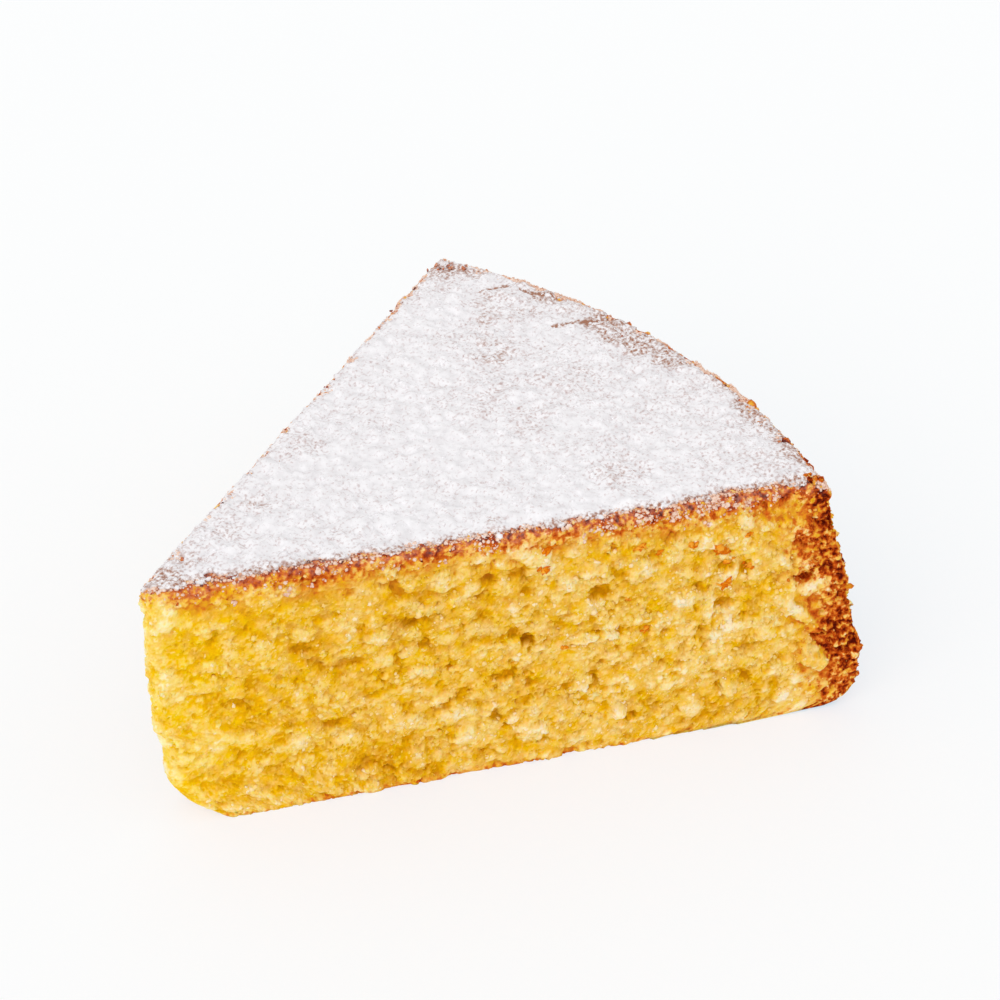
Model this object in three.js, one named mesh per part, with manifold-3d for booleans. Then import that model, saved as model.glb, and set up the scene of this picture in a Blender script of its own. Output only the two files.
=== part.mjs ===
// A slice of lemon caprese cake: a wedge of almond sponge, cut from a round cake that was baked in a
// flared tin and turned out upside down, so that it is widest just above its base and flat on top.
// A coat of icing sugar lies on the top. Millimetres, +Z up. The slice points along -X, its rim faces
// +X, and the origin is the middle of its footprint, on the surface that it stands on.
import * as THREE from "three";
import { ImprovedNoise } from "three/addons/math/ImprovedNoise.js";
import { mergeVertices } from "three/addons/utils/BufferGeometryUtils.js";
import Module from "manifold-3d";

// Driving dimensions
const SLICE_ANGLE = THREE.MathUtils.degToRad(50); // between the two knife cuts
const HALF_ANGLE = SLICE_ANGLE / 2;
const HEIGHT = 45; // of the sponge, without its sugar
const TOP_RADIUS = 109.5; // of the whole cake at its top
const RIM_RADIUS = 117.8; // of the whole cake at its widest
const RIM_RISE = 11; // height of that widest place
const FLAT_RADIUS = 99; // of the flat underside, which turns up towards the rim
const TOP_ROUND = 1.2; // rounding of the rim's upper edge
const TIP_ROUND_TOP = 1.8; // plan radius of the blunted tip, at the top
const TIP_ROUND_BASE = 2.6; // and at the base
const CHIP_DEPTH = 8; // crumb lost from under the tip, along each cut
const CHIP_RISE = 12; // height that the lost crumb reaches
const BASE_TRIM = 0.8; // sponge below the base plane, trimmed off flat

// Relief of the surfaces
const KNIFE_WAVE = { size: 34, depth: 0.5 }; // slow wander of the knife
const CRUMB_CRAG = { size: 6.5, depth: 0.95 }; // torn crags on the cuts
const CRUMB_GRAIN = { size: 3.1, depth: 0.75 }; // grains of ground almond
const CRUST_CRAG = { size: 7.5, depth: 0.8 }; // crags of the browned side
const CRUST_GRAIN = { size: 3.6, depth: 0.6 };
const TOP_SWELL = { size: 30, depth: 0.45 }; // gentle unevenness of the top
const PORE = { spacing: 8, smallest: 1.4, largest: 3.2, depth: 1.5 }; // bubbles that the knife opened

// Icing sugar
const SUGAR_GAP = 0.3; // clearance above the crust
const SUGAR_DEPTH = 0.75;
const SUGAR_EDGE_DEPTH = 0.35;
const SUGAR_LUMP = { size: 6, depth: 0.3 };
const SUGAR_MARGIN_CUT = 1.3; // bare crust along each cut
const SUGAR_MARGIN_RIM = 2.2; // and along the rim
const SUGAR_MARGIN_TIP = 1.2;
const SUGAR_FRAY = { size: 9, depth: 0.8 }; // uneven edge of the coat

// Facets along the slice, across it and up it
const FACETS = { along: 50, across: 24, up: 23 };
const SUGAR_FACETS = { along: 36, across: 20, up: 1 };

// Powers that keep a change close to an edge: the higher, the closer
const CLOSE_TO_RIM = 4; // levels of the facets bending to the rim's outline
const CLOSE_TO_MARGIN = { cut: 3, rim: 6, tip: 8 }; // the coat of sugar drawing in

// Mixing numbers of the fixed random draws
const MIX = { i: 127.1, j: 311.7, k: 74.7, draw: 53.3, spread: 43758.5453 };

const noise = new ImprovedNoise();
const tipRound = (z) => THREE.MathUtils.lerp(TIP_ROUND_BASE, TIP_ROUND_TOP, z / HEIGHT);
const tipSetback = TIP_ROUND_TOP * (1 / Math.sin(HALF_ANGLE) - 1);
const APEX_X = -(RIM_RADIUS + tipSetback) / 2; // where the two cuts would meet

// Smooth noise of a wavelength and a depth, in millimetres.
function swell({ size, depth }, x, y, z) {
  return depth * noise.noise(x / size, y / size, z / size);
}

// A fixed random number from 0 to 1 for a cell of space and a choice of draw.
function cellDraw(i, j, k, draw) {
  const mixed = Math.sin(i * MIX.i + j * MIX.j + k * MIX.k + draw * MIX.draw) * MIX.spread;
  return mixed - Math.floor(mixed);
}

// How far inside an opened bubble a point lies, from 0 outside to 1 at a bubble's middle.
function poreAt(x, y, z) {
  const [ci, cj, ck] = [x, y, z].map((v) => Math.floor(v / PORE.spacing));
  let deepest = 0;
  for (let i = ci - 1; i <= ci + 1; i++)
    for (let j = cj - 1; j <= cj + 1; j++)
      for (let k = ck - 1; k <= ck + 1; k++) {
        const middle = [i, j, k].map((c, axis) => (c + cellDraw(i, j, k, axis)) * PORE.spacing);
        const radius = THREE.MathUtils.lerp(PORE.smallest, PORE.largest, cellDraw(i, j, k, 3) ** 2);
        const distance = Math.hypot(x - middle[0], y - middle[1], z - middle[2]);
        deepest = Math.max(deepest, 1 - (distance / radius) ** 2);
      }
  return deepest;
}

function crumbRelief(x, y, z) {
  const crags = swell(CRUMB_CRAG, x, y, z) + swell(CRUMB_GRAIN, x, y, z);
  return swell(KNIFE_WAVE, x, y, z) + crags - PORE.depth * poreAt(x, y, z);
}

function crustRelief(x, y, z) {
  return swell(CRUST_CRAG, x, y, z) + swell(CRUST_GRAIN, x, y, z);
}

function topHeight(x, y) {
  return HEIGHT + swell(TOP_SWELL, x, y, HEIGHT);
}

// The rim's outline from the edge of the flat underside to the edge of the top, as radius and height.
function rimProfile() {
  const outline = new THREE.Path();
  outline.moveTo(FLAT_RADIUS, -BASE_TRIM);
  outline.quadraticCurveTo(RIM_RADIUS + BASE_TRIM, -BASE_TRIM, RIM_RADIUS, RIM_RISE);
  outline.lineTo(TOP_RADIUS, HEIGHT - TOP_ROUND);
  outline.quadraticCurveTo(TOP_RADIUS, HEIGHT, TOP_RADIUS - TOP_ROUND, HEIGHT);
  return outline;
}
const RIM_OUTLINE = rimProfile().getSpacedPoints(FACETS.up);

// The blunted tip at a height, as a place across it from -1 on the near cut to 1 on the far cut.
function tipPoint(across, z) {
  const round = tipRound(z);
  const turn = Math.PI / 2 - HALF_ANGLE;
  const chip = CHIP_DEPTH * Math.max(0, 1 - z / CHIP_RISE);
  const reach = round / Math.tan(HALF_ANGLE) + chip;
  const bulge = round * (Math.cos(across * turn) - Math.cos(turn));
  const x = APEX_X + reach * Math.cos(HALF_ANGLE) - bulge;
  const y = (reach * Math.sin(HALF_ANGLE) * Math.sin(across * turn)) / Math.sin(turn);
  return new THREE.Vector2(x, y);
}

// The plain wedge: along is 0 at the tip and 1 at the rim, across -1 and 1 on the cuts, up 0 and 1.
function wedgePoint(along, across, up) {
  const rim = RIM_OUTLINE[Math.round(up * FACETS.up)];
  const level = THREE.MathUtils.lerp(-BASE_TRIM, HEIGHT, up);
  const tip = tipPoint(across, level);
  const angle = across * HALF_ANGLE;
  const end = new THREE.Vector2(APEX_X + rim.x * Math.cos(angle), rim.x * Math.sin(angle));
  const plan = tip.lerp(end, along);
  return new THREE.Vector3(plan.x, plan.y, THREE.MathUtils.lerp(level, rim.y, along ** CLOSE_TO_RIM));
}

// Sum of the outward directions, in plan, of the upright faces that a point of the wedge lies on.
function sideways(along, across) {
  const out = new THREE.Vector2();
  const add = (x, y) => out.add(new THREE.Vector2(x, y));
  const angle = across * HALF_ANGLE;
  const turn = across * (Math.PI / 2 - HALF_ANGLE);
  if (Math.abs(across) === 1) add(-Math.sin(HALF_ANGLE), across * Math.cos(HALF_ANGLE));
  if (along === 1) add(Math.cos(angle), Math.sin(angle));
  if (along === 0) add(-Math.cos(turn), Math.sin(turn));
  return out.normalize();
}

// A closed block of facets whose places along, across and up, from 0 to 1, go through a function.
function mappedBlock({ along, across, up }, place) {
  const block = new THREE.BoxGeometry(1, 1, 1, along, across, up);
  const position = block.getAttribute("position");
  const snapped = (value, steps) => Math.round((value + 0.5) * steps) / steps;
  for (let i = 0; i < position.count; i++) {
    const u = snapped(position.getX(i), along);
    const v = snapped(position.getY(i), across);
    const w = snapped(position.getZ(i), up);
    position.setXYZ(i, ...place(u, 2 * v - 1, w));
  }
  block.deleteAttribute("normal");
  block.deleteAttribute("uv");
  return mergeVertices(block);
}

function spongePlace(along, across, up) {
  const point = wedgePoint(along, across, up);
  const relief = along === 1 ? crustRelief : crumbRelief;
  const depth = relief(point.x, point.y, point.z);
  const out = sideways(along, across).multiplyScalar(depth);
  const x = point.x + out.x;
  const y = point.y + out.y;
  return [x, y, up === 1 ? topHeight(x, y) : point.z];
}

// The coat of sugar lies on the top, drawn in from each edge by an uneven margin.
function sugarPlace(along, across, up) {
  const top = wedgePoint(along, across, 1);
  const fray = swell(SUGAR_FRAY, top.x, top.y, 0);
  const cutMargin = (SUGAR_MARGIN_CUT + fray) * Math.abs(across) ** CLOSE_TO_MARGIN.cut;
  const rimMargin = (SUGAR_MARGIN_RIM + fray) * along ** CLOSE_TO_MARGIN.rim;
  const tipMargin = SUGAR_MARGIN_TIP * (1 - along) ** CLOSE_TO_MARGIN.tip;
  const x = top.x - rimMargin + tipMargin;
  const y = top.y - Math.sign(across) * Math.min(cutMargin, Math.abs(top.y) / 2);
  const under = topHeight(x, y) + SUGAR_GAP;
  const onEdge = along === 0 || along === 1 || Math.abs(across) === 1;
  const depth = onEdge ? SUGAR_EDGE_DEPTH : SUGAR_DEPTH + swell(SUGAR_LUMP, x, y, 0);
  return [x, y, under + up * depth];
}

const wasm = await Module();
wasm.setup();

function solidFrom(geometry) {
  const vertProperties = new Float32Array(geometry.getAttribute("position").array);
  const triVerts = new Uint32Array(geometry.index.array);
  return new wasm.Manifold(new wasm.Mesh({ numProp: 3, vertProperties, triVerts }));
}

function geometryFrom(solid) {
  const { vertProperties, triVerts } = solid.getMesh();
  const geometry = new THREE.BufferGeometry();
  geometry.setAttribute("position", new THREE.BufferAttribute(vertProperties, 3));
  geometry.setIndex(new THREE.BufferAttribute(triVerts, 1));
  return geometry;
}

// Everything below the base plane is trimmed away, which leaves a flat underside.
function trimmedAtBase(geometry) {
  const across = 2 * RIM_RADIUS;
  const slab = new THREE.BoxGeometry(across, across, HEIGHT).translate(0, 0, -HEIGHT / 2);
  slab.deleteAttribute("normal");
  slab.deleteAttribute("uv");
  return geometryFrom(solidFrom(geometry).subtract(solidFrom(mergeVertices(slab))));
}

function cakeSlice() {
  const sponge = mappedBlock(FACETS, spongePlace);
  const crumb = new THREE.MeshStandardMaterial({ color: "#e9bd55", roughness: 0.9, metalness: 0 });
  const mesh = new THREE.Mesh(trimmedAtBase(sponge), crumb);
  mesh.name = "cake_slice";
  return mesh;
}

function icingSugar() {
  const coat = mappedBlock(SUGAR_FACETS, sugarPlace);
  const powder = new THREE.MeshStandardMaterial({ color: "#f3f1f2", roughness: 1, metalness: 0 });
  const mesh = new THREE.Mesh(coat, powder);
  mesh.name = "icing_sugar";
  return mesh;
}

const slice = new THREE.Group();
slice.add(cakeSlice(), icingSugar());
export default slice;
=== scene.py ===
"""Looks of a slice of lemon caprese cake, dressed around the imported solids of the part.

Lengths are in millimetres, and each mesh is turned to metres when it is finished.
"""

import logging
import math
from collections.abc import Sequence
from dataclasses import dataclass, field
from enum import Enum

import bmesh
import bpy
import numpy as np
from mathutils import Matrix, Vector, noise


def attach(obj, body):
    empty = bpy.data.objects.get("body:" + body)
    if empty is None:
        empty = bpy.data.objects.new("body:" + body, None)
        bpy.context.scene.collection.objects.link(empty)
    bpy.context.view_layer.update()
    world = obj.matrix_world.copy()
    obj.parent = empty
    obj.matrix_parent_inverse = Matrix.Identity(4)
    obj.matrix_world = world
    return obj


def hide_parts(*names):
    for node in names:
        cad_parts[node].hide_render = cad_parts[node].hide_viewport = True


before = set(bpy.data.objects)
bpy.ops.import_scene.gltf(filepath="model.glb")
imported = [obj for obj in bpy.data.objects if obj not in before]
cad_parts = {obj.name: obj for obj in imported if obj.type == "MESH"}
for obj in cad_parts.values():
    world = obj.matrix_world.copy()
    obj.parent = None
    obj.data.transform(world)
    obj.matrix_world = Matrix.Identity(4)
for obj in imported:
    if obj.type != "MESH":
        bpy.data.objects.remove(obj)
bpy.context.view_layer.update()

LOG = logging.getLogger("caprese_cake_slice")
METRES = 0.001
UP = (0.0, 0.0, 1.0)
MERGE_DISTANCE = 1e-4
IMAGE_PIXELS = 1000
SPONGE_LAYERS = ("tone", "tint", "browning", "lemon", "dusted")

NodeInputs = dict[str | int, object]
Fields = dict[str, bpy.types.NodeSocket]
Stops = Sequence[tuple[float, str]]
Span = tuple[float, float]
Point = tuple[float, float, float]
Values = np.ndarray | float


def smooth_step(low: float, high: float, value: Values) -> Values:
    """Rises smoothly from 0 at low to 1 at high.

    Args:
        low: Value at which the rise starts.
        high: Value at which it ends.
        value: Value or values to look up.

    Returns:
        Shares from 0 to 1.
    """
    share = np.clip((value - low) / (high - low), 0.0, 1.0)
    return share * share * (3.0 - 2.0 * share)


def mix(first: Values, second: Values, share: Values) -> Values:
    """Blends two numbers by a share from 0 to 1."""
    return first + (second - first) * share


def ranked(values: np.ndarray) -> np.ndarray:
    """Spreads the values of a grid evenly from 0 to 1 in the order of their size."""
    order = values.ravel().argsort().argsort()
    return (order / (values.size - 1.0)).reshape(values.shape)


def upward(count: int) -> np.ndarray:
    """Makes directions straight up, one for each bit."""
    return np.tile(UP, (count, 1))


def linear_colour(code: str) -> tuple[float, float, float, float]:
    """Turns an sRGB hex value to a linear colour.

    Args:
        code: Six hex digits after a hash sign.

    Returns:
        Red, green, blue and an alpha of 1.
    """
    parts = [int(code[i:i + 2], 16) / 255.0 for i in (1, 3, 5)]
    linear = [c / 12.92 if c <= 0.04045 else ((c + 0.055) / 1.055) ** 2.4 for c in parts]
    return linear[0], linear[1], linear[2], 1.0


def set_inputs(tree: bpy.types.NodeTree, node: bpy.types.Node, inputs: NodeInputs) -> None:
    """Sets or links the inputs of a node.

    Args:
        tree: Node tree that the node is in.
        node: The node.
        inputs: Values, or output sockets to link, by input name or place.
    """
    for name, value in inputs.items():
        if isinstance(value, bpy.types.NodeSocket):
            tree.links.new(value, node.inputs[name])
        else:
            node.inputs[name].default_value = value


def add_node(tree: bpy.types.NodeTree, kind: str, inputs: NodeInputs, stops: Stops = (),
             **settings: object) -> bpy.types.Node:
    """Adds a node with its settings, and sets or links its inputs.

    Args:
        tree: Node tree that the node goes in.
        kind: Blender's name for the node's type.
        inputs: Values, or output sockets to link, by input name or place.
        stops: Places from 0 to 1 with sRGB hex values, where the node has a colour ramp.
        settings: Property values by property name.

    Returns:
        The new node.
    """
    node = tree.nodes.new(kind)
    for name, value in settings.items():
        setattr(node, name, value)
    set_inputs(tree, node, inputs)
    for index, (place, code) in enumerate(stops):
        elements = node.color_ramp.elements
        element = elements[index] if index < len(elements) else elements.new(place)
        element.position = place
        element.color = linear_colour(code)
    return node


def new_material(name: str) -> tuple[bpy.types.Material, bpy.types.NodeTree, bpy.types.Node]:
    """Starts a material.

    Args:
        name: Name of the finish.

    Returns:
        The material, its node tree and its shader.
    """
    made = bpy.data.materials.new(name)
    made.use_nodes = True
    return made, made.node_tree, made.node_tree.nodes["Principled BSDF"]


def link_object(name: str, data: bpy.types.ID) -> bpy.types.Object:
    """Makes an object at the origin and puts it in the scene.

    Args:
        name: Name of the object.
        data: Its mesh, lamp or lens.

    Returns:
        The object.
    """
    made = bpy.data.objects.new(name, data)
    bpy.context.scene.collection.objects.link(made)
    return made


def finish_mesh(mesh: bmesh.types.BMesh, name: str) -> bpy.types.Object:
    """Turns a mesh in millimetres to an object in metres, smooth shaded.

    Args:
        mesh: Finished mesh, which is freed.
        name: Name of the piece.

    Returns:
        The object, at the origin.
    """
    bmesh.ops.scale(mesh, vec=(METRES,) * 3, verts=mesh.verts)
    for face in mesh.faces:
        face.smooth = True
    data = bpy.data.meshes.new(name)
    mesh.to_mesh(data)
    mesh.free()
    return link_object(name, data)


def dress(piece: bpy.types.Object, material: bpy.types.Material) -> bpy.types.Object:
    """Gives a piece its finish and sets it on the part.

    Args:
        piece: The piece.
        material: Its finish.

    Returns:
        The same piece.
    """
    piece.data.materials.append(material)
    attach(piece, "root")
    return piece


class Wall(Enum):
    """The upright faces of the slice, in order round its outline."""

    TIP = "tip"
    NEAR_CUT = "near_cut"
    RIM = "rim"
    FAR_CUT = "far_cut"


class NoiseLayer(Enum):
    """Which layer of the noise a field reads, so that no two fields look alike."""

    TOP_SWELL = 0.0
    SUGAR_LUMPS = 0.5
    DIPS = 4.5
    SUGAR_FRAY = 5.5
    SUGAR_DRIFT = 9.5
    PITS = 14.5
    HOLLOWS = 16.5
    SUGAR_WEAR = 21.5
    FLAKES = 24.5
    RIM_MOTTLE = 33.5
    WRINKLES = 41.5
    FILM_EDGE = 52.5
    CRUST_EDGE = 60.5
    DUST_PATCHES = 71.5
    RAGGED_ALONG = 81.5
    RAGGED_UP = 87.5
    BROAD_TONE = 95.5


@dataclass(frozen=True)
class Waves:
    """A field of smooth noise: its largest waves, its layer and how many sizes of wave it adds up.

    The waves weaken from size to size, each size is finer than the last, and they may be stretched along.
    """

    size: float
    layer: NoiseLayer
    octaves: int = 3
    weakening: float = 0.75
    stretch: float = 1.0
    finer: float = 2.0

    def at(self, x: float, y: float) -> float:
        """Value at one place, about 0 and mostly within 1 of it."""
        lookup = (x / (self.size * self.stretch), y / self.size, self.layer.value)
        return noise.fractal(lookup, self.weakening, self.finer, self.octaves)

    def grid(self, along: np.ndarray, up: np.ndarray) -> np.ndarray:
        """Values over a grid of columns along and rows up."""
        return np.array([[self.at(column, row) for row in up] for column in along])


@dataclass(frozen=True)
class Fade:
    """Something that fades with distance: its strength, and where the fading starts and ends."""

    strength: float
    start: float
    end: float

    def amount(self, distance: Values) -> Values:
        """What is left of it at each distance."""
        return self.strength * (1.0 - smooth_step(self.start, self.end, distance))


@dataclass(frozen=True)
class WedgeForm:
    """True form of the slice: a wedge of a round cake that flares out towards its base."""

    half_angle: float = math.radians(25.0)
    height: float = 45.0
    top_radius: float = 109.5
    rim_radius: float = 117.8
    rim_rise: float = 11.0
    flat_radius: float = 104.0
    base_squareness: float = 4.4
    tip_round_top: float = 1.8
    tip_round_base: float = 2.6
    chip_depth: float = 6.3
    chip_rise: float = 8.0
    chip_curve: float = 1.5
    notch: Fade = Fade(1.7, 16.7, 18.5)
    edge_round: float = 0.8
    corner_share: float = 0.4
    top_swell: Waves = Waves(30.0, NoiseLayer.TOP_SWELL, 1)
    top_swell_depth: float = 0.45

    @property
    def apex_x(self) -> float:
        """Where the planes of the two cuts would meet."""
        setback = self.tip_round_top * (1.0 / math.sin(self.half_angle) - 1.0)
        return -(self.rim_radius + setback) / 2.0

    def rim_at(self, z: np.ndarray) -> np.ndarray:
        """Radius of the rim at each height: a curve in at the base and a straight lean above.

        Args:
            z: Heights above the base.

        Returns:
            Radii from the apex.
        """
        above = np.maximum(0.0, 1.0 - z / self.rim_rise)
        share = (1.0 - above ** self.base_squareness) ** (1.0 / self.base_squareness)
        curve = mix(self.flat_radius, self.rim_radius, share)
        lean = mix(self.rim_radius, self.top_radius, (z - self.rim_rise) / (self.height - self.rim_rise))
        return np.where(z < self.rim_rise, curve, lean)

    def reach_at(self, z: Values) -> tuple[Values, Values]:
        """Rounding of the tip at each height, with the crumb that broke off at its base.

        Args:
            z: Heights above the base.

        Returns:
            Plan radii of the tip, and how far from the apex each cut starts.
        """
        radius = mix(self.tip_round_base, self.tip_round_top, z / self.height)
        chip = self.chip_depth * np.maximum(0.0, 1.0 - z / self.chip_rise) ** self.chip_curve
        return radius, radius / math.tan(self.half_angle) + chip + self.notch.amount(z)

    def place(self, wall: Wall, share: float, z: np.ndarray) -> tuple[np.ndarray, np.ndarray]:
        """Finds a column of points of the plain wedge's upright faces.

        Args:
            wall: Which face.
            share: Place along that face, from 0 to 1 in the outline's order.
            z: Heights above the base.

        Returns:
            The points, and the direction out of the face at each.
        """
        half = self.half_angle
        rim = self.rim_at(z)
        radius, reach = self.reach_at(z)
        if wall is Wall.RIM:
            angle = mix(-half, half, share)
            out = (math.cos(angle), math.sin(angle), 0.0)
            x = self.apex_x + out[0] * rim
            y = out[1] * rim
        elif wall is Wall.TIP:
            turn = mix(1.0, -1.0, share) * (math.pi / 2.0 - half)
            out = (-math.cos(turn), math.sin(turn), 0.0)
            x = self.apex_x + reach * math.cos(half) - radius * (math.cos(turn) - math.sin(half))
            y = reach * math.sin(half) * math.sin(turn) / math.cos(half)
        else:
            side = -1.0 if wall is Wall.NEAR_CUT else 1.0
            share = share if wall is Wall.NEAR_CUT else 1.0 - share
            start = self.reach_at(self.height)[1]
            distance = (mix(start, self.rim_radius, share)
                        + (reach - start) * (1.0 - smooth_step(0.0, self.corner_share, share))
                        + (rim - self.rim_radius) * smooth_step(1.0 - self.corner_share, 1.0, share))
            out = (-math.sin(half), side * math.cos(half), 0.0)
            x = self.apex_x + distance * math.cos(half)
            y = side * distance * math.sin(half)
        return np.stack((x, y, z), axis=-1), np.tile(out, (len(z), 1))

    def top_at(self, x: float, y: float) -> float:
        """Height of the cake's gently uneven top above the base."""
        return self.height + self.top_swell_depth * self.top_swell.at(x, y)

    def margins(self, x: float, y: float) -> tuple[float, float]:
        """How far a place on the top lies from the edges.

        Args:
            x: Place along the slice.
            y: Place across it.

        Returns:
            Distance in from the nearer cut, and from the rim.
        """
        half = self.half_angle
        from_apex = x - self.apex_x
        from_cut = from_apex * math.sin(half) - abs(y) * math.cos(half)
        along_cut = from_apex * math.cos(half) + abs(y) * math.sin(half)
        if along_cut < self.reach_at(self.height)[1]:
            tip_middle = self.tip_round_top / math.sin(half)
            from_cut = self.tip_round_top - math.hypot(from_apex - tip_middle, y)
        return from_cut, self.top_radius - math.hypot(from_apex, y)


@dataclass(frozen=True)
class LumpKind:
    """One size of lump in the cake: how large, how many to the square millimetre, how proud.

    Small lumps crowd out large ones, each is stretched by chance, and each sits a share of itself deep.
    """

    smallest: float
    largest: float
    density: float
    proud: float
    scatter: float
    crowding: float = 2.0
    wide: Span = (0.85, 1.5)
    tall: Span = (0.7, 1.1)
    sunk: float = 0.5


@dataclass(frozen=True)
class Tear:
    """One kind of tear in a face of cake: its size, the share of the face it takes and its height."""

    size: float
    stretch: float
    share: float
    softness: float
    height: float
    layer: NoiseLayer
    octaves: int = 6

    def heights(self, along: np.ndarray, up: np.ndarray) -> np.ndarray:
        """What the tear adds to the relief.

        Args:
            along: Distances along the outline.
            up: Heights above the base.

        Returns:
            Grid of heights, 0 outside the tears.
        """
        order = ranked(Waves(self.size, self.layer, self.octaves, stretch=self.stretch).grid(along, up))
        return Fade(self.height, self.share - self.softness, self.share + self.softness).amount(order)


@dataclass(frozen=True)
class TornFace:
    """How a face of cake is built up: broad dips, the lumps it broke into, tears, then grains."""

    dips: tuple[Tear, ...]
    lumps: tuple[LumpKind, ...]
    tears: tuple[Tear, ...]
    grains: tuple[LumpKind, ...]


@dataclass(frozen=True)
class Mark:
    """A hole or a flake on the near cut: its middle, half sizes, height, slope and tone.

    The height is below 0 for a hole.
    """

    along: float
    z: float
    wide: float
    tall: float
    height: float
    slope: float = 0.0
    tone: float = 0.16


@dataclass(frozen=True)
class Spot:
    """A small thing on the near cut: its distance along the cut, its height and its size."""

    along: float
    z: float
    size: float


@dataclass(frozen=True)
class Heap:
    """A few crumbs at one place on the top: where it is, and how many there are."""

    x: float
    y: float
    count: int


@dataclass
class Side:
    """The unrolled upright faces as a grid: places, relief and what the finish reads."""

    along: np.ndarray
    up: np.ndarray
    points: np.ndarray
    outs: np.ndarray
    walls: list[Wall]
    depth: np.ndarray
    tint: np.ndarray
    tone: np.ndarray
    browning: np.ndarray
    lemon: np.ndarray
    dusted: np.ndarray

    @property
    def spacing(self) -> np.ndarray:
        """Width of each column."""
        return np.gradient(self.along)

    def on(self, wall: Wall) -> np.ndarray:
        """Which columns lie on a face, as an array that spreads over the rows."""
        return np.array([other is wall for other in self.walls])[:, None]


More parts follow.
